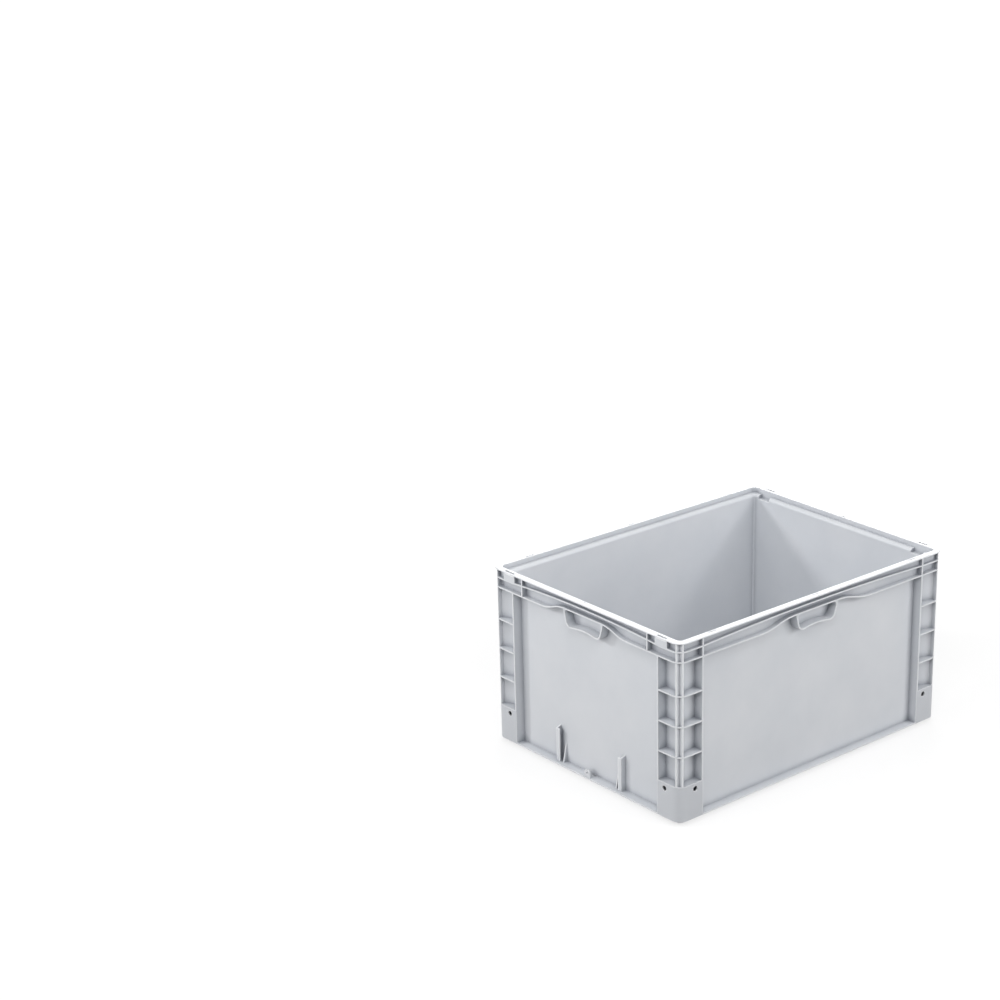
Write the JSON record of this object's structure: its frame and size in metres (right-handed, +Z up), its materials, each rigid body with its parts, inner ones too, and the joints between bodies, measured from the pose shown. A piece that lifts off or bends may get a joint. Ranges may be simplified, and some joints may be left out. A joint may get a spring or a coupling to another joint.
{
  "type": "euro stacking container",
  "caption": "Open rectangular stacking container of light grey plastic with ribbed corner columns, flanged rim, shell grips on all sides and a stepped foot.",
  "frame": {"origin": "middle of the footprint, on the underside of the foot that the container stands on", "axes": "+X along the long side, +Y along the short side, +Z up towards the open rim"},
  "size_m": [0.8, 0.6, 0.413],
  "materials": {
    "shell": "moulded light grey, fine grain"
  },
  "bodies": {
    "root": {"container": "shell"}
  },
  "joints": []
}
